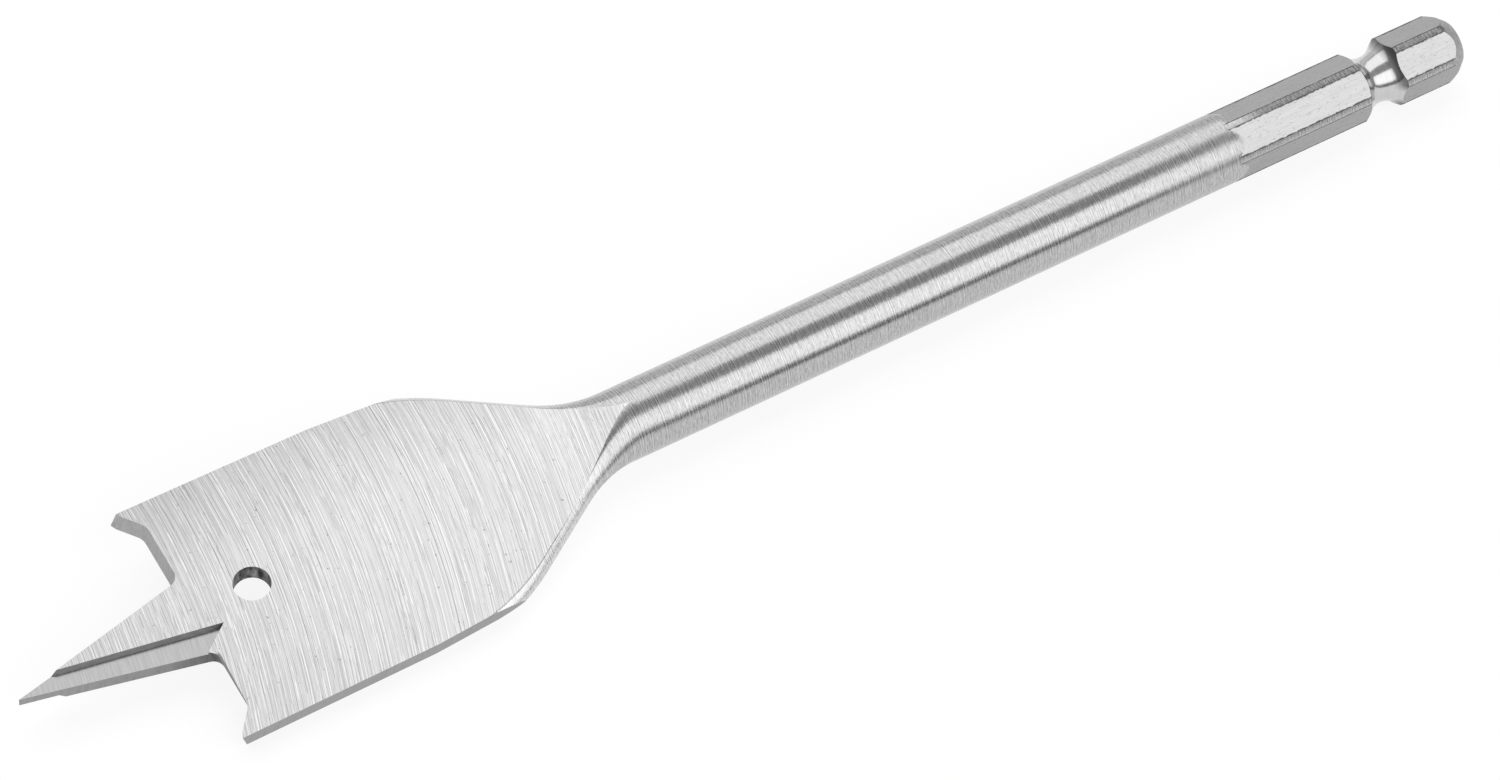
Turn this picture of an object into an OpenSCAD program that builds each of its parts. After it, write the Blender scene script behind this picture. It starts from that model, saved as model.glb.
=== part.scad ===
// Spade drill bit: one forging of tool steel, with a ground blade and a hex shank.
// The bit is drawn along +X from its point, with the front face of the blade up,
// and is then rolled on to the edge of its blade, as it lies on a bench.

/* [Overall] */
// Length from the point to the end of the shank
overall_len = 152.4; // [135:0.1:200]
// Diameter that the bit cuts, across its two wings
cut_d = 25.4; // [20:0.1:32]
// Diameter of the round shaft
shaft_d = 7; // [6.6:0.1:8]

/* [Blade] */
// Thickness of the ground blade
blade_t = 2; // [1.6:0.1:2.6]
// Flat depth that is ground off each round side of the forged blank
grind_depth = 0.1; // [0.05:0.05:0.4]
// Clearance of the ground sides behind their leading edges, in degrees
side_relief = 6.5; // [2:0.1:9]
// Taper of each side towards the shank, in degrees
back_taper = 0.4; // [0:0.05:0.8]
// Distance from the point to the heel, from where each side tapers more
heel_x = 34.5; // [28:0.1:36]
// Taper of each side behind its heel, in degrees
heel_taper = 3.7; // [1:0.1:5]
// Diameter of the hole in the blade
hole_d = 3.45; // [2:0.05:5]
// Distance of the hole from the point
hole_x = 22.95; // [22:0.05:30]
// Offset of the hole from the axis, towards the back-cutting wing
hole_off = 0.55; // [0:0.05:2]

/* [Shoulder] */
// Distance from the point to where the blank starts to narrow
shoulder_x = 34.8; // [33:0.1:45]
// Slope of the shoulder, in degrees from the axis
shoulder_angle = 33; // [25:1:40]
// Radius of the outward bend at the blade
shoulder_r = 22.3; // [10:0.1:25]
// Radius of the inward bend at the neck
neck_r = 14.2; // [6:0.1:18]
// Slope of the faces where they run up on to the shaft, in degrees
ramp_angle = 23; // [18:1:32]
// Radius at the foot of that ramp
ramp_r = 14.2; // [6:0.1:15]
// Radius at the top of that ramp
crown_r = 5; // [2:0.5:8]
// Bulge of the forged edge, as a share of half its thickness
edge_bulge = 0.93; // [0.5:0.01:0.98]
// Form of that edge: 2 is a round bulge, and less leaves two slopes that meet in a ridge
edge_power = 1.5; // [1.3:0.05:2]

/* [Point] */
// Distance from the point to the cutting edges of the wings
point_len = 17.05; // [13:0.05:18]
// Half of the angle of the point, in degrees
point_angle = 12.8; // [10:0.1:15]
// Radius at the root of the point
root_r = 1.1; // [0.4:0.1:1.5]
// Relief behind the cutting edges, in degrees
cut_relief = 11.5; // [8:0.5:16]

/* [Spurs] */
// Height of the spurs over the cutting edges
spur_h = 1.9; // [1:0.05:2.5]
// Slope of the inside of a spur, in degrees
spur_angle = 38.5; // [30:0.5:50]
// Width of the small facet at the tip of a spur
spur_tip_w = 0.6; // [0.3:0.05:1]
// Slope of that facet, in degrees
spur_tip_angle = 24; // [10:1:28]
// Radius at the foot of a spur
spur_r = 1.6; // [0.5:0.1:2]

/* [Rake grooves] */
// Depth of a groove at the foot of its wall
rake_depth = 0.57; // [0.4:0.01:0.7]
// Angle of a groove to the axis, in degrees
rake_angle = 9.9; // [8:0.1:12]
// Distance from the point to where the wall crosses the axis
rake_cross_x = 9.05; // [7:0.05:10]
// Distance from the point to the end of a groove
rake_end_x = 19; // [18.5:0.1:20]
// Slant of the end of a groove, in degrees from the axis
rake_end_angle = 38.5; // [30:0.5:60]
// Lean of the groove's wall, in degrees
rake_lean = 20; // [10:1:30]
// Rise of the groove's floor towards the cutting edge, in degrees
rake_rise = 4.5; // [0:0.5:6]

/* [Shank] */
// Width across the flats of the hex shank
hex_af = 6.35; // [6.3:0.01:6.4]
// Length of the hex, from the end of the shank
hex_len = 26.7; // [24:0.1:40]
// Slope at the start of the flats, in degrees
runout_angle = 14.5; // [10:0.5:30]
// Distance from the end of the shank to the middle of the detent groove
detent_x = 9.4; // [8:0.05:11]
// Width of the detent groove
detent_w = 4.3; // [3:0.1:5]
// Diameter at the bottom of the detent groove
detent_d = 4.75; // [4.2:0.05:5.4]
// Length of the chamfer at the end of the shank
chamfer_len = 1.75; // [0.5:0.05:2.5]
// Bulge in the middle of that chamfer, which is turned in two slopes
chamfer_bulge = 0.12; // [0:0.01:0.2]
// Diameter of the flat end of the shank
end_d = 4.75; // [3:0.05:6]

/* [Hidden] */
$fn = 96;

shaft_r = shaft_d / 2;
half_t = blade_t / 2;
half_cut = cut_d / 2;
half_blank = half_cut + edge_bulge * half_t + grind_depth;

// Room that a cutter leaves outside the steel
spare = 5;
// Step between the end of the forged shoulder and the turned shaft
lap = 0.01;
// Length by which the shoulder runs on inside the shaft
lap_len = 1;

// The shoulder's length, and the place where it meets the shaft
neck_drop = half_blank - shaft_r;
neck_x = shoulder_x + s_len(neck_drop, shoulder_angle, shoulder_r, neck_r);
ramp_rise = shaft_r - half_t;
ramp_x = neck_x - s_len(ramp_rise, ramp_angle, ramp_r, crown_r);
// Rings along the shoulder, and points on each rounded edge of a ring
ring_n = 48;
edge_n = 21;

// The grind of the end is tilted, so its outline is drawn short by this share
grind = cos(cut_relief);
// The two tilted grinds meet a little behind the drawn point
tip_back = half_t * tan(cut_relief);
// Points on each rounded corner of that outline
corner_n = 8;

// The roll at which the shaft and the back of one blade edge both lie on a flat surface
rest_y = half_cut - blade_t * tan(side_relief);
rest_roll = asin(shaft_r / norm([rest_y, half_t])) - atan2(half_t, rest_y);

hex_x = overall_len - hex_len;
detent_depth = shaft_r - detent_d / 2;
detent_r = (pow(detent_w / 2, 2) + pow(detent_depth, 2)) / (2 * detent_depth);

// The corner between the two slopes of the chamfer, as radius and distance along the axis
chamfer_x = overall_len - chamfer_len;
chamfer_out = [chamfer_len, shaft_r - end_d / 2];
chamfer_mid = [(shaft_r + end_d / 2) / 2, (chamfer_x + overall_len) / 2]
    + chamfer_out / norm(chamfer_out) * chamfer_bulge;

// An S-bend of two arcs and a straight slope between them: its length along the axis,
// and how far it has moved sideways at the distance d from its start.
function s_len(move, slope, r1, r2) =
    (r1 + r2) * sin(slope) + (move - (r1 + r2) * (1 - cos(slope))) / tan(slope);
function s_move(d, move, slope, r1, r2) =
    let (
        len = s_len(move, slope, r1, r2),
        left = len - d,
        d1 = r1 * sin(slope),
        d2 = r2 * sin(slope)
    )
    d <= 0 ? 0
    : left <= 0 ? move
    : d < d1 ? r1 - sqrt(r1 * r1 - d * d)
    : left < d2 ? move - r2 + sqrt(r2 * r2 - left * left)
    : r1 * (1 - cos(slope)) + (d - d1) * tan(slope);

// Half the width and half the thickness of the forging at x
function width_at(x) =
    half_blank - s_move(x - shoulder_x, neck_drop, shoulder_angle, shoulder_r, neck_r);
function thick_at(x) = half_t + s_move(x - ramp_x, ramp_rise, ramp_angle, ramp_r, crown_r);

// One ring of the forging: two flats, and two edges that bulge to the parting line of the
// dies. They turn into half circles as the forging thickens into the shaft.
function ring(x, in) =
    let (
        t = thick_at(x) - in,
        w = width_at(x) - in,
        turned = (thick_at(x) - half_t) / ramp_rise,
        bulge = turned < 1 ? min(w, t * (edge_bulge + (1 - edge_bulge) * turned)) : w,
        edge = [for (i = [0:edge_n - 1])
            let (
                a = 180 * i / (edge_n - 1) - 90,
                forged = 1 - pow(abs(sin(a)), edge_power),
                out = forged + (cos(a) - forged) * turned
            )
            [w - bulge + bulge * out, t * sin(a)]]
    )
    concat([for (p = edge) [x, p[0], p[1]]], [for (p = edge) [x, -p[0], -p[1]]]);

// The corner at p between the directions a and b, rounded with the radius r
function unit(v) = v / norm(v);
function corner(p, a, b, r) =
    let (
        half = acos(unit(a) * unit(b)) / 2,
        mid = p + unit(unit(a) + unit(b)) * r / sin(half),
        from = p + unit(a) * r / tan(half) - mid,
        sweep = 180 - 2 * half,
        side = sign(a[0] * b[1] - a[1] * b[0])
    )
    [for (i = [0:corner_n])
        let (turn = -side * sweep * i / corner_n)
        mid + [from[0] * cos(turn) - from[1] * sin(turn), from[0] * sin(turn) + from[1] * cos(turn)]];

// Forged blank, from the flat blade to the round neck
module forged_blank() {
    xs = concat(
        [-spare],
        [for (i = [0:ring_n]) shoulder_x + (neck_x - shoulder_x) * i / ring_n]
    );
    rings = concat(
        [for (x = xs) ring(x, lap)],
        [ring(neck_x + lap_len, 2 * lap)]
    );
    n = 2 * edge_n;
    last = len(rings) - 1;
    polyhedron(
        points = [for (r = rings) each r],
        faces = concat(
            [[for (i = [0:n - 1]) i]],
            [for (k = [0:last - 1]) for (i = [0:n - 1]) each [
                [k * n + i, (k + 1) * n + i, (k + 1) * n + (i + 1) % n],
                [k * n + i, (k + 1) * n + (i + 1) % n, k * n + (i + 1) % n]
            ]],
            [[for (i = [n - 1:-1:0]) last * n + i]]
        )
    );
}

// Turned shaft, with the detent groove and the chamfered end
module turned_shaft() {
    rotate([0, 90, 0])
        rotate_extrude()
            difference() {
                polygon([
                    [0, neck_x],
                    [shaft_r, neck_x],
                    [shaft_r, chamfer_x],
                    chamfer_mid,
                    [end_d / 2, overall_len],
                    [0, overall_len]
                ]);
                translate([detent_d / 2 + detent_r, overall_len - detent_x])
                    circle(detent_r);
            }
}

// What the hex leaves: all outside the six flats, and outside the cone where they start
module hex_relief() {
    before = 1;
    past = 3;
    rotate([0, 90, 0])
        difference() {
            translate([0, 0, hex_x - before])
                cylinder(r = shaft_r + spare, h = hex_len + spare);
            translate([0, 0, hex_x - before])
                cylinder(
                    r1 = shaft_r + before * tan(runout_angle),
                    r2 = shaft_r - past * tan(runout_angle),
                    h = before + past
                );
            translate([0, 0, hex_x])
                cylinder(d = hex_af / cos(30), h = hex_len + 2 * spare, $fn = 6);
        }
}

// Grind of one side: its leading edge is on the front face, and it tapers to the shank,
// a little more behind the heel
module side_grind() {
    spur_x = point_len - spur_h;
    heel_y = (heel_x - spur_x) * tan(back_taper) - half_cut;
    for (place = [[spur_x, -half_cut, back_taper], [heel_x, heel_y, heel_taper]])
        translate([place[0], place[1], half_t])
            rotate([side_relief, 0, place[2]])
                translate([-cut_d, -half_cut, -half_cut])
                    cube([2 * cut_d, half_cut, cut_d]);
}

// Grind of one half of the end: the side of the point, the cutting edge and the spur
module end_grind() {
    slope = [cos(point_angle), -sin(point_angle)];
    root = [point_len, -(point_len + tip_back) * tan(point_angle)];
    spur_tip = [point_len - spur_h, -half_cut];
    facet = [-sin(spur_tip_angle), -cos(spur_tip_angle)];
    spur_in = spur_tip - facet * spur_tip_w;
    rise = [sin(spur_angle), cos(spur_angle)];
    foot = spur_in + rise * (point_len - spur_in[0]) / rise[0];
    outline = concat(
        [root - slope * (point_len + 2 * spare)],
        corner(root, -slope, [0, -1], root_r),
        corner(foot, [0, 1], -rise, spur_r),
        [spur_in, spur_tip + facet * spare],
        [[-spare, spur_tip[1] + facet[1] * spare]]
    );
    translate([0, 0, half_t])
        rotate([0, -cut_relief, 0])
            translate([0, 0, -half_cut])
                linear_extrude(cut_d)
                    polygon([for (p = outline) [p[0] * grind, p[1]]]);
}

// Rake groove of one cutting edge of the point: a leaning wall and a floor
module rake_groove() {
    reach = half_cut;
    wall = rake_depth * tan(rake_lean);
    intersection() {
        translate([rake_cross_x, 0, half_t])
            rotate([90, 0, -90 - rake_angle])
                translate([0, 0, -reach])
                    linear_extrude(rake_cross_x + spare + reach)
                        polygon([
                            [wall, -rake_depth],
                            [-spare * tan(rake_lean), spare],
                            [reach, spare],
                            [reach, (reach - wall) * tan(rake_rise) - rake_depth]
                        ]);
        translate([rake_end_x, (rake_cross_x - rake_end_x) * tan(rake_angle), 0])
            rotate([0, 0, rake_end_angle])
                translate([-2 * cut_d, 0, -half_cut])
                    cube([4 * cut_d, 2 * cut_d, cut_d]);
    }
}

module blade_hole() {
    translate([hole_x, hole_off, 0])
        cylinder(d = hole_d, h = blade_t + spare, center = true);
}

// The whole bit: the forging and the turned shaft, ground alike on both faces
module bit_on_axis() {
    difference() {
        union() {
            forged_blank();
            turned_shaft();
        }
        hex_relief();
        blade_hole();
        for (turn = [0, 180])
            rotate([turn, 0, 0]) {
                side_grind();
                end_grind();
                rake_groove();
            }
    }
}

module spade_bit() {
    color([0.8, 0.8, 0.81])
        translate([-overall_len / 2, 0, shaft_r])
            rotate([rest_roll, 0, 0])
                bit_on_axis();
}

spade_bit();
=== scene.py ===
import math

import bpy
from mathutils import Matrix, Vector


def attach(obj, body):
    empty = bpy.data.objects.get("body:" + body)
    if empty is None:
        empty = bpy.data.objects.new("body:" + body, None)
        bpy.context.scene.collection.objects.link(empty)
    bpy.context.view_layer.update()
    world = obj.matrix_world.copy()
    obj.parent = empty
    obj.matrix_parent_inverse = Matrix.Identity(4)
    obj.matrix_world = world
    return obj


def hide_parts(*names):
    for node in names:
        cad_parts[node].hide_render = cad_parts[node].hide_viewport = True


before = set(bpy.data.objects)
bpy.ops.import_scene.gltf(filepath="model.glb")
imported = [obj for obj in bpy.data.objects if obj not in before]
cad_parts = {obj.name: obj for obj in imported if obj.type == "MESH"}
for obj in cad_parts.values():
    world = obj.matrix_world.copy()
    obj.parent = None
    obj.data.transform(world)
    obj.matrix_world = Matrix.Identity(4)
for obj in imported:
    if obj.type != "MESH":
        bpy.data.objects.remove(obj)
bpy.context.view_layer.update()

# The bit is one forging of tool steel that is ground on nearly every side.
# It is a copy of the solid whose triangles are joined, so that each ground face,
# each round and each flat can carry its own finish and reflect as one surface.
MM = 0.001
BIT_LENGTH = 152.4
BLADE_HALF = 1.0
SHAFT_RADIUS = 3.5
ROLL = math.radians(11.66)
JOIN_WITHIN = 0.0005 * MM

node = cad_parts["spade_bit"]
bpy.ops.object.select_all(action="DESELECT")
bit = bpy.data.objects.new("ground_bit", node.data.copy())
bpy.context.collection.objects.link(bit)
bit.select_set(True)
bpy.context.view_layer.objects.active = bit
bit.data.materials.clear()
bpy.ops.object.mode_set(mode="EDIT")
bpy.ops.mesh.select_all(action="SELECT")
bpy.ops.mesh.remove_doubles(threshold=JOIN_WITHIN)
bpy.ops.object.mode_set(mode="OBJECT")

# In the bit's own frame X runs from the point along the axis, and Z out of the front face.
roll_back = Matrix.Rotation(-ROLL, 3, "X")
on_axis = Vector((-BIT_LENGTH / 2, 0, SHAFT_RADIUS))


def own_place(point):
    return roll_back @ (point / MM - on_axis)


# The faces of the blade, up the ramp to the neck, are ground flat by the rim of a cup wheel.
# It crosses them in arcs and leaves fine streaks, some bright and some dull. The ramp is
# torn a little. Painted shade darkens the face towards one wing, and along the cutting edge
# of the other wing a thin dark line of painted shade is drawn.
WHEEL_LEAN = 0.155
WHEEL_BOW = 0.0068
HAIRS_PER_MM = 8.0
STREAKS_PER_MM = 3.2
GLINTS_PER_MM = 6.0
NICKS_PER_MM = 7.0
BRIGHT_X = 6.0, 36.0
SHADED_Y = 3.0, 13.0
RAMP_X = 51.0, 58.0
EDGE_SHADE_X = 17.48, 17.38
EDGE_SHADE_TAPER = 0.04
EDGE_SHADE_INNER_Y = -4.1, -4.6
EDGE_SHADE_OUTER_Y = -10.0, -9.6
FACE_SHADES = 0.19, 0.73


class Wire:
    """A socket of a shader that takes part in sums and products, and that can add any node."""

    def __init__(self, tree, socket=None):
        self.tree = tree
        self.socket = socket

    def add(self, kind, sockets, output=0, **settings):
        made = self.tree.nodes.new(kind)
        for name, value in settings.items():
            setattr(made, name, value)
        for name, value in sockets.items():
            if isinstance(value, Wire):
                self.tree.links.new(value.socket, made.inputs[name])
            else:
                made.inputs[name].default_value = value
        return Wire(self.tree, made.outputs[output])

    def math(self, operation, *values):
        return self.add("ShaderNodeMath", dict(enumerate(values)), operation=operation)

    def __abs__(self):
        return self.math("ABSOLUTE", self)

    def __add__(self, other):
        return self.math("ADD", self, other)

    def __radd__(self, other):
        return self.math("ADD", other, self)

    def __sub__(self, other):
        return self.math("SUBTRACT", self, other)

    def __rsub__(self, other):
        return self.math("SUBTRACT", other, self)

    def __mul__(self, other):
        return self.math("MULTIPLY", self, other)

    def __rmul__(self, other):
        return self.math("MULTIPLY", other, self)


def bare_steel(name, metallic=1.0):
    """A new steel: its shader, and the bit's own coordinates in millimetres to draw its grain on."""
    steel = bpy.data.materials.new(name)
    steel.use_nodes = True
    tree = steel.node_tree
    shader = tree.nodes["Principled BSDF"]
    shader.inputs["Metallic"].default_value = metallic
    start = Wire(tree)
    place = start.add(
        "ShaderNodeMapping",
        {
            "Vector": start.add("ShaderNodeTexCoord", {}, output="Object"),
            "Scale": (1 / MM, 1 / MM, 1 / MM),
            "Rotation": (-ROLL, 0, 0),
            "Location": -(roll_back @ on_axis),
        },
    )
    along = [place.add("ShaderNodeSeparateXYZ", {"Vector": place}, output=axis) for axis in "XYZ"]
    bit.data.materials.append(steel)
    return shader, along


def ramp(wire, low, high):
    """A value that climbs from 0 at low to 1 at high."""
    return wire.add("ShaderNodeMapRange", {"Value": wire, "From Min": low, "From Max": high})


def grain(x, y, z):
    """Noise from 0 to 1. The factor on each coordinate is the number of grains to a millimetre."""
    spread = 0.28, 0.72
    spot = x.add("ShaderNodeCombineXYZ", {"X": x, "Y": y, "Z": z})
    looks = {"Vector": spot, "Scale": 1.0, "Detail": 3.0, "Roughness": 0.6}
    return ramp(spot.add("ShaderNodeTexNoise", looks), *spread)


def hairline(w, stretch=0.0):
    """Noise from 0 to 1 along one line, for straight streaks. Each stretch of it has other streaks."""
    spread = 0.25, 0.75
    looks = {"W": w + stretch, "Detail": 1.0, "Scale": 1.0}
    return ramp(w.add("ShaderNodeTexNoise", looks, noise_dimensions="1D"), *spread)


def broken(mask, first, second):
    """Streaks that break off: the first where the mask is 1, and the second where it is 0."""
    return first * mask + second * (1 - mask)


def breaks(x, y, z):
    """A mask of patches with fairly crisp borders, for streaks that break off."""
    return ramp(grain(x, y, z), 0.42, 0.58)


def tint(amount, dark, light):
    """A grey steel between two shades, from dark at 0 to light at 1."""
    from_colour, to_colour, mixed_colour = 6, 7, 2
    shades = {from_colour: (dark, dark, dark, 1), to_colour: (light, light, light, 1)}
    return amount.add("ShaderNodeMix", {"Factor": amount, **shades}, mixed_colour, data_type="RGBA")


def link(shader, socket, wire):
    wire.tree.links.new(wire.socket, shader.inputs[socket])


def scratch(shader, height, strength, depth):
    """Fine relief in the surface, as deep as the given millimetres."""
    bump = {"Height": height, "Strength": strength, "Distance": depth * MM}
    link(shader, "Normal", height.add("ShaderNodeBump", bump))


shader, (x, y, z) = bare_steel("blade_face")
across = x - WHEEL_LEAN * y + WHEEL_BOW * y * y
swap = breaks(across * 2.0, y * 0.22, z * 0.4)
hairs = across * HAIRS_PER_MM
hair = broken(swap, hairline(hairs), hairline(hairs, stretch=500.0))
bands = across * STREAKS_PER_MM
streaks = broken(swap, hairline(bands + z), hairline(bands, stretch=200.0))
glint_patches = ramp(grain(across * 1.5, y * 0.3, z * 0.4 + 9.0), 0.4, 0.6)
glints = ramp(hairline(across * GLINTS_PER_MM, stretch=300.0), 0.72, 0.95) * glint_patches
nick_patches = ramp(grain(across * 2.5, y * 0.5, z * 0.4), 0.5, 0.7)
nicks = ramp(hairline(across * NICKS_PER_MM, stretch=700.0), 0.74, 0.95) * nick_patches
on_ramp = ramp(x, *RAMP_X)
torn = ramp(grain(across * 7.0, y * 0.9, z * 0.4 + 2.0), 0.7, 0.88) * on_ramp
pits = ramp(grain(x * 2.6, y * 2.6, z * 0.4), 0.93, 1.0)
# Painted shade: a thin dark line along the cutting edge of one wing.
edge_shade = ramp(x - y * EDGE_SHADE_TAPER, *EDGE_SHADE_X) * ramp(y, *EDGE_SHADE_INNER_Y) * ramp(y, *EDGE_SHADE_OUTER_Y)
# Painted shade darkens the face towards one wing; the face is also duller towards the point and lighter
# on the ramp.
wear_and_shade = 0.2 + ramp(x, *BRIGHT_X) * 0.16 - ramp(y, *SHADED_Y) * 0.2 + on_ramp * 0.14
bright = hair * 0.55 + streaks * 0.1 + glints * 0.3 + wear_and_shade
dark = pits * 0.5 + nicks * 0.3 + torn * 0.3 + edge_shade
link(shader, "Base Color", tint(bright - dark, *FACE_SHADES))
link(shader, "Roughness", 0.36 - streaks * 0.12)
scratch(shader, hair * 0.5 + streaks * 0.5, strength=0.25, depth=0.02)

# The shaft and the forged shoulder are turned and belted: fine rings run round them, and short
# cross marks break them up. A dark line of painted reflection runs where the ground face ends,
# the lands of the hex in line with the faces are darker, the shoulder is lighter by a painted
# highlight, and the end of the shank is left coarse.
RINGS_PER_MM = 8.0
CREASE_REFLECTION_Z = 0.88, 0.95
CREASE_REFLECTION_X = 53.0, 49.0
DARK_LAND_Z = 3.25, 3.4
DARK_LAND_X = 127.0, 130.0
SHOULDER_HIGHLIGHT_X = 58.0, 52.0
COARSE_NECK_X = 76.0, 64.0
COARSE_SHANK_X = 112.0, 124.0
END_X = 150.3, 150.9
SHAFT_SHADES = 0.0, 0.7
shader, (x, y, z) = bare_steel("turned_shaft")
swap = breaks(x * 2.0, y * 0.9, z * 0.9)
lines = x * RINGS_PER_MM
rings = broken(swap, hairline(lines), hairline(lines, stretch=400.0))
marks = grain(x * 6.0, y * 2.0, z * 2.0)
# Painted reflection: a thin dark line along the crease where the ground face ends.
crease_reflection = ramp(abs(z), *CREASE_REFLECTION_Z) * ramp(x, *CREASE_REFLECTION_X)
# The lands of the hex in line with the faces are darker.
dark_land = ramp(abs(z), *DARK_LAND_Z) * ramp(x, *DARK_LAND_X)
coarse = ramp(x, *COARSE_SHANK_X) + ramp(x, *COARSE_NECK_X) * 0.3
end = ramp(x, *END_X)
# The shoulder is lighter by a painted highlight, for the reflection of its rounded edge.
bright = 0.35 + rings * 0.38 + marks * 0.24 + ramp(x, *SHOULDER_HIGHLIGHT_X) * 0.22
dark = crease_reflection * 0.5 + dark_land * 0.36 + end * 0.08
link(shader, "Base Color", tint(bright - dark, *SHAFT_SHADES))
link(shader, "Roughness", 0.17 + rings * 0.1 + coarse * 0.1 + end * 0.22)
scratch(shader, (rings * 0.5 + marks * 0.5) * (1 + coarse * 0.5), strength=0.6, depth=0.018)

# The flats of the hex are drawn through a die: smooth, with small pits and faint long lines.
# A torn dark line runs where each flat meets the round that is left between two flats, and
# the two flats that are square to the blade are painted darker, as painted shade for the
# dim floor that the lower one reflects.
FLAT_STEP = math.radians(60)
TORN_FROM_MIDDLE = math.radians(22.2), math.radians(23.8)
TORN_WAVER = math.radians(2.2)
SHADED_FLAT_Y = 3.0, 3.1
FLAT_SHADES = 0.06, 0.54
shader, (x, y, z) = bare_steel("hex_flats")
drawn = grain(x * 0.3, y * 5.0, z * 5.0)
pits = ramp(grain(x * 2.6, y * 4.5, z * 4.5), 0.68, 1.0)
from_middle = z.math("PINGPONG", z.math("ARCTAN2", z, y), FLAT_STEP / 2)
waver = (grain(x * 2.0, y * 2.0, z * 2.0) - 0.5) * TORN_WAVER
torn = ramp(from_middle + waver, *TORN_FROM_MIDDLE)
# Painted shade on the two flats that are square to the blade.
side = ramp(abs(y), *SHADED_FLAT_Y)
shade = 0.79 + drawn * 0.14 - pits * 0.2 - torn * 0.85 - side * 0.26
link(shader, "Base Color", tint(shade, *FLAT_SHADES))
link(shader, "Roughness", 0.27 + pits * 0.1)
scratch(shader, pits + drawn * 0.2, strength=0.12, depth=0.008)

# The detent groove is turned last, with a form tool, and comes out nearly polished.
# The flank towards the end of the shank is painted dark in line with the two faces of the
# blade: painted shade in the groove.
SHADED_FLANK_X = 144.0, 144.9
SHADED_FLANK_Z = 0.6, 1.4
DETENT_SHADES = 0.0, 0.61
shader, (x, y, z) = bare_steel("detent_groove")
polish = grain(x * 6.0, y * 0.3, z * 0.3)
# Painted shade on the far flank of the groove.
shaded_flank = ramp(x, *SHADED_FLANK_X) * ramp(abs(z), *SHADED_FLANK_Z)
link(shader, "Base Color", tint(0.88 + polish * 0.12 - shaded_flank * 0.7, *DETENT_SHADES))
link(shader, "Roughness", 0.15 + polish * 0.06)

# The sides of the blade and of the point are ground last, across their edges.
# Those of the point are painted darker towards its root, as painted shade in the corner
# where the point meets the wings.
SHADED_POINT_Y = 9.0, 6.0
SHADED_POINT_X = 4.0, 17.0
SHADED_ROOT_X = 12.5, 17.0
EDGE_SHADES = 0.0, 0.325
shader, (x, y, z) = bare_steel("ground_edges")
cut = grain(x * 4.0 + y * 3.0, y * 0.6, z * 0.6)
# Painted shade on the sides of the point, deepest at its root.
root_shade = (ramp(x, *SHADED_POINT_X) * 0.22 + ramp(x, *SHADED_ROOT_X) * 0.4) * ramp(abs(y), *SHADED_POINT_Y)
link(shader, "Base Color", tint(0.74 + cut * 0.26 - root_shade, *EDGE_SHADES))
link(shader, "Roughness", 0.26 + cut * 0.1)
scratch(shader, cut, strength=0.2, depth=0.012)

# The relief behind the cutting edges is ground with a coarser wheel, and shows an even grey.
# On one wing it is painted dark, as painted shade for the shadowed floor under the wing
# that it reflects.
SHADED_WING_Y = 0.5, -0.5
RELIEF_SHADES = 0.0, 0.49
shader, (x, y, z) = bare_steel("cutting_relief", metallic=0.2)
coarse = grain(x * 0.8 + z * 0.8, y * 5.0, z * 0.8)
# Painted shade on the relief of one wing.
shade = 0.7 + coarse * 0.3 - ramp(y, *SHADED_WING_Y) * 0.75
link(shader, "Base Color", tint(shade, *RELIEF_SHADES))
link(shader, "Roughness", 0.45 + coarse * 0.1)
scratch(shader, coarse, strength=0.25, depth=0.012)

# The walls of the rake grooves are only brushed by the side of the wheel.
# They stay dull and dark, and show no lines.
WALL_SHADES = 0.2, 0.29
shader, (x, y, z) = bare_steel("rake_wall", metallic=0.3)
rub = grain(x * 1.5, y * 1.5, z * 6.0)
link(shader, "Base Color", tint(rub, *WALL_SHADES))
link(shader, "Roughness", 0.45 + rub * 0.15)

# The floors of the rake grooves are plunge-ground with a narrow wheel.
# They are an even grey, with hair lines across the groove.
FLOOR_SHADES = 0.31, 0.43
shader, (x, y, z) = bare_steel("rake_floor")
plunge = grain(x * 9.0 - y * 1.6, y * 0.3, z * 0.3)
link(shader, "Base Color", tint(plunge, *FLOOR_SHADES))
link(shader, "Roughness", 0.2 + plunge * 0.08)
scratch(shader, plunge, strength=0.2, depth=0.012)

# The hole is punched through the blade, so its wall is torn and dull.
# It is dark in patches where scale is left in it, and darker on the side towards the shank.
DARKER_SIDE_X = 22.6, 24.2
HOLE_SHADES = 0.01, 0.28
shader, (x, y, z) = bare_steel("punched_hole")
clean = grain(x * 1.2, y * 1.2, z * 0.5)
# Darker on the side towards the shank.
shade = clean * 1.4 - 0.05 - ramp(x, *DARKER_SIDE_X) * 0.45
link(shader, "Base Color", tint(shade, *HOLE_SHADES))
link(shader, "Roughness", 0.55 - clean * 0.2)
scratch(shader, clean, strength=0.4, depth=0.05)

# Each triangle of the bit gets the finish of the tool that reached it last.
# It is told by its place and by the way it points, in the bit's own frame.
# The finishes are numbered in the order in which their steels are made above.
FACE, TURNED, HEX, DETENT, GROUND, RELIEF, RAKE_WALL, RAKE_FLOOR, HOLE = range(9)
NECK_X = 61.36
HEX_LENGTH = 26.7
HEX_ACROSS_FLATS = 6.35
HEX_X = BIT_LENGTH - HEX_LENGTH
DETENT_FROM_END = 9.4
DETENT_REACH = 2.2
DETENT_X = BIT_LENGTH - DETENT_FROM_END
HOLE_X, HOLE_Y, HOLE_RADIUS = 22.95, 0.55, 1.725
CUTTING_END_X = 19.2
GROUND_SIDE_Y = 11.0
# How far off a surface a triangle may be, and how far off a flat
NEAR = 0.05
NEAR_FLAT = 0.03
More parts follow.
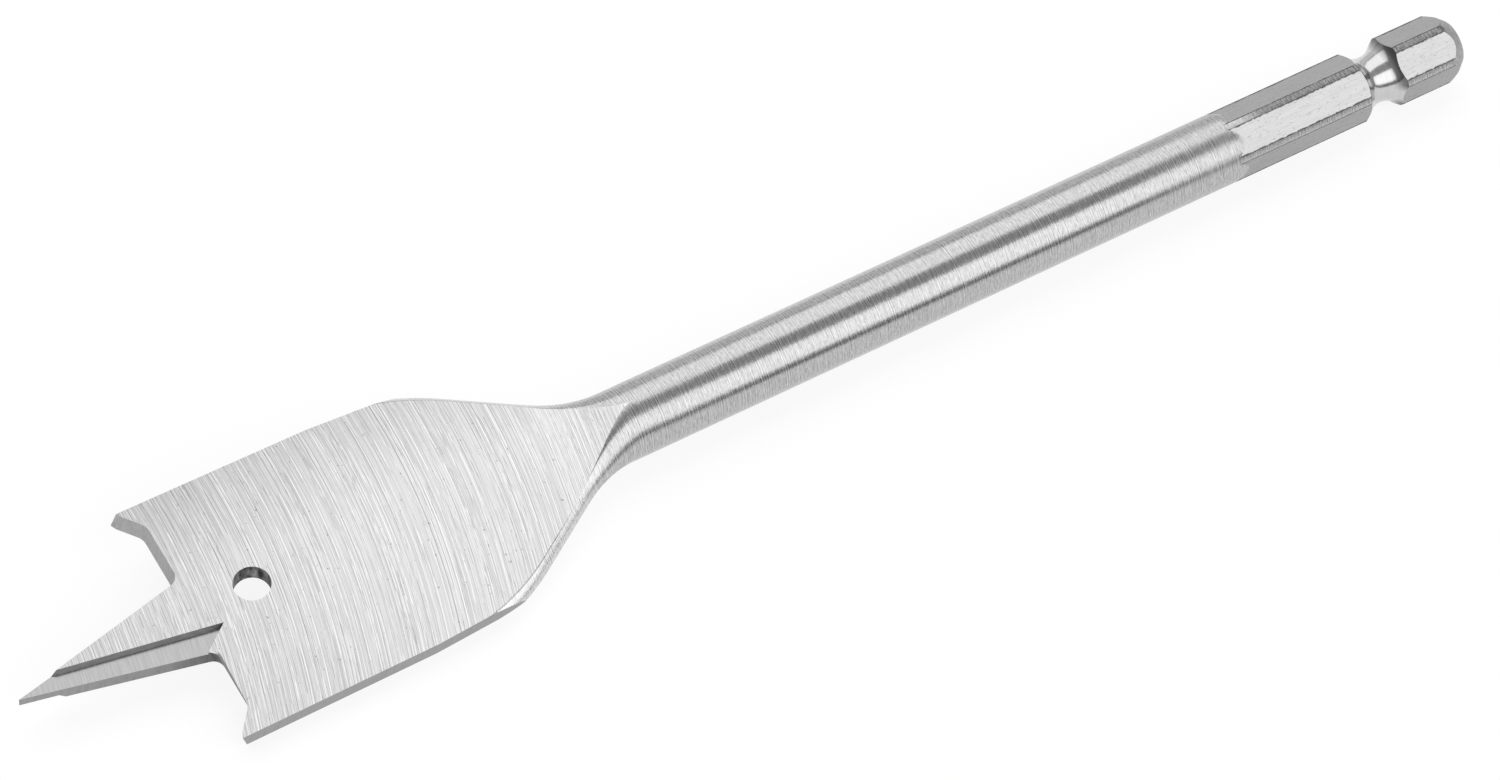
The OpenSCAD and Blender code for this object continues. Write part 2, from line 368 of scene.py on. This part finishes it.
# What a direction has along one axis at most to be square to it, and at least to point along it
SQUARE = 0.05
TRUE_SQUARE = 0.02
UPRIGHT = 0.3
TRUE_UPRIGHT = 0.2
POINTED = 0.5
FACING = 0.85
SIDEWAYS = 0.8
TRUE_SIDEWAYS = 0.97
WALL_LEAN = 0.25


def shank_finish(centre, out):
    on_flat = abs(out.x) < SQUARE and abs(out.dot(centre) - HEX_ACROSS_FLATS / 2) < NEAR_FLAT
    if on_flat and centre.x > HEX_X:
        return HEX
    below_shaft = math.hypot(centre.y, centre.z) < SHAFT_RADIUS - NEAR
    return DETENT if below_shaft and abs(centre.x - DETENT_X) < DETENT_REACH else TURNED


def blade_finish(centre, out):
    facing = abs(out.z)
    if math.hypot(centre.x - HOLE_X, centre.y - HOLE_Y) < HOLE_RADIUS + NEAR and facing < POINTED:
        return HOLE
    if facing > FACING and abs(out.y) < TRUE_SQUARE and abs(centre.z) > BLADE_HALF - NEAR:
        return FACE
    if centre.x < CUTTING_END_X:
        if facing < UPRIGHT and out.x < -POINTED:
            return RELIEF
        if WALL_LEAN < facing < POINTED and abs(out.y) > SIDEWAYS:
            return RAKE_WALL
        return RAKE_FLOOR if facing > FACING else GROUND
    on_side = abs(centre.y) > GROUND_SIDE_Y and abs(out.y) > TRUE_SIDEWAYS and facing < TRUE_UPRIGHT
    return GROUND if on_side else TURNED


for polygon in bit.data.polygons:
    centre = own_place(polygon.center)
    out = roll_back @ polygon.normal
    heights = [own_place(bit.data.vertices[corner].co).z for corner in polygon.vertices]
    at_face = all(abs(abs(height) - BLADE_HALF) < NEAR_FLAT for height in heights)
    one_side = min(heights) * max(heights) > 0
    if centre.x > NECK_X:
        polygon.material_index = shank_finish(centre, out)
    elif at_face and one_side and abs(out.y) < POINTED:
        polygon.material_index = FACE
    else:
        polygon.material_index = blade_finish(centre, out)

# Each surface is shaded as the whole that it is: flats as true flats, rounds as true rounds, and
# the rest by the mean of the triangles at a corner that turn less than a sharp edge does.
# The ground faces end in a crisp line along the edge of the shoulder.
SHARP_TURN = math.radians(24)
CRISP_TURN = math.radians(5)
DETENT_TUBE_RADIUS = 4.992
SHAFT_START_X = NECK_X - 0.02
SHAFT_LEAN = 0.08

around = {}
for polygon in bit.data.polygons:
    for vertex in polygon.vertices:
        around.setdefault(vertex, []).append(polygon)


def true_normal(place, polygon):
    """The normal of a flat, of the round shaft or of the detent groove, in the bit's own frame."""
    out = roll_back @ polygon.normal
    radial = Vector((0, place.y, place.z)).normalized()
    if polygon.material_index == DETENT:
        return Vector((DETENT_X, 0, 0)) + radial * DETENT_TUBE_RADIUS - place
    if polygon.material_index == HEX:
        return out
    if polygon.material_index == FACE and abs(abs(place.z) - BLADE_HALF) < NEAR_FLAT:
        return Vector((0, 0, math.copysign(1, place.z)))
    on_shaft = place.x > SHAFT_START_X and abs(out.x) < SHAFT_LEAN
    if polygon.material_index in (TURNED, FACE) and on_shaft:
        return radial
    return None


def mean_normal(vertex, polygon):
    """The mean of the triangles at a corner, by area, without those past a sharp edge."""
    total = Vector()
    for other in around[vertex]:
        same = (polygon.material_index == FACE) == (other.material_index == FACE)
        if polygon.normal.angle(other.normal, 0) < (SHARP_TURN if same else CRISP_TURN):
            total += other.normal * other.area
    return total


normals = [Vector()] * len(bit.data.loops)
for polygon in bit.data.polygons:
    for corner in polygon.loop_indices:
        vertex = bit.data.loops[corner].vertex_index
        found = true_normal(own_place(bit.data.vertices[vertex].co), polygon)
        rolled = roll_back.transposed() @ found if found else mean_normal(vertex, polygon)
        normals[corner] = rolled.normalized()
bpy.ops.object.shade_smooth()
bit.data.normals_split_custom_set(normals)
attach(bit, "root")
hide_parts("spade_bit")

# The bit lies on a plain white light table, on its shaft and on the edge of one wing.
# The table glows, which keeps the shadows pale.
TABLE_SIZE = 8.0
TABLE_SHADE = 0.16
TABLE_ROUGHNESS = 0.9
TABLE_GLOW = 0.84


def stage_plane(name, size, centre):
    bpy.ops.object.select_all(action="DESELECT")
    bpy.ops.mesh.primitive_plane_add(size=1.0, location=centre)
    plane = bpy.context.object
    plane.name = name
    bpy.ops.transform.resize(value=(*size, 1))
    bpy.ops.object.transform_apply()
    return plane


def stage_coat(plane, name, shade, roughness):
    coat = bpy.data.materials.new(name)
    coat.use_nodes = True
    shader = coat.node_tree.nodes["Principled BSDF"]
    shader.inputs["Base Color"].default_value = (shade, shade, shade, 1)
    shader.inputs["Roughness"].default_value = roughness
    plane.data.materials.append(coat)
    return shader


table = stage_plane("light_table", (TABLE_SIZE, TABLE_SIZE), (0, 0, 0))
pane = stage_coat(table, "light_table", TABLE_SHADE, TABLE_ROUGHNESS)
pane.inputs["Emission Color"].default_value = (1, 1, 1, 1)
pane.inputs["Emission Strength"].default_value = TABLE_GLOW

# Two long soft boxes hang along the bit, one on the camera's side and one behind,
# with a dark gap between them overhead that draws the bands on the round shaft.
# A white reflector stands low behind, and lifts the far flat of the hex.
BOX_DISTANCE = 1.0
BOX_FROM, BOX_TO = -0.6, 2.0
BOX_MIDDLE = (BOX_FROM + BOX_TO) / 2
BOX_LENGTH = BOX_TO - BOX_FROM


def soft_box(name, low, high, radiance):
    """A soft box that fills the angles from low to high, counted in degrees up from the near horizon."""
    middle = math.radians((low + high) / 2)
    height = 2 * BOX_DISTANCE * math.tan(math.radians((high - low) / 2))
    bpy.ops.object.light_add(
        type="AREA",
        location=(BOX_MIDDLE, -BOX_DISTANCE * math.cos(middle), BOX_DISTANCE * math.sin(middle)),
        rotation=(math.pi / 2 - middle, 0, 0),
    )
    lamp = bpy.context.object
    lamp.name = name
    lamp.data.shape = "RECTANGLE"
    lamp.data.size = BOX_LENGTH
    lamp.data.size_y = height
    lamp.data.energy = radiance * math.pi * BOX_LENGTH * height
    lamp.visible_camera = False


soft_box("near_soft_box", low=7, high=56, radiance=1.33)
soft_box("far_soft_box", low=91, high=143, radiance=1.12)
soft_box("back_reflector", low=149, high=177, radiance=0.42)

# A card of black felt lies on the table before the bit, where only reflections see it.
# It draws the thin dark line along the lower side of the shaft.
CARD_NEAR, CARD_FAR = -0.027, -0.6
CARD_LIFT = 0.0002
CARD_SHADE = 0.02
CARD_ROUGHNESS = 1.0
card_size = BOX_LENGTH, CARD_NEAR - CARD_FAR
card = stage_plane("black_card", card_size, (BOX_MIDDLE, (CARD_NEAR + CARD_FAR) / 2, CARD_LIFT))
stage_coat(card, "black_felt", CARD_SHADE, CARD_ROUGHNESS)
card.visible_camera = False
card.visible_diffuse = False
card.visible_shadow = False

# The room round the table is a plain grey.
# It fills the gaps between the soft boxes, so that they don't reflect as black.
ROOM_SHADE = 0.37
room = bpy.data.worlds.new("studio")
bpy.context.scene.world = room
room.use_nodes = True
walls = room.node_tree.nodes["Background"]
walls.inputs["Color"].default_value = (ROOM_SHADE, ROOM_SHADE, ROOM_SHADE, 1)

# The camera looks down on the bit from the side of its point, through a long lens.
# Its place and angles are those at which the bit's edges fall as in the photograph.
CAMERA_PLACE = Vector((-150.434, -267.514, 340.194)) * MM
HEADING = math.radians(28.937)
DOWN = math.radians(48.041)
TILT = math.radians(-2.500)
LENS_LENGTH = 119.33
SENSOR_WIDTH = 36
lens = bpy.data.cameras.new("camera")
lens.lens = LENS_LENGTH
lens.sensor_width = SENSOR_WIDTH
lens.sensor_fit = "HORIZONTAL"
camera = bpy.data.objects.new("camera", lens)
bpy.context.collection.objects.link(camera)
camera.matrix_world = (
    Matrix.Translation(CAMERA_PLACE)
    @ Matrix.Rotation(-HEADING, 4, "Z")
    @ Matrix.Rotation(math.pi / 2 - DOWN, 4, "X")
    @ Matrix.Rotation(TILT, 4, "Z")
)
bpy.context.scene.camera = camera
bpy.context.scene.view_settings.view_transform = "Standard"
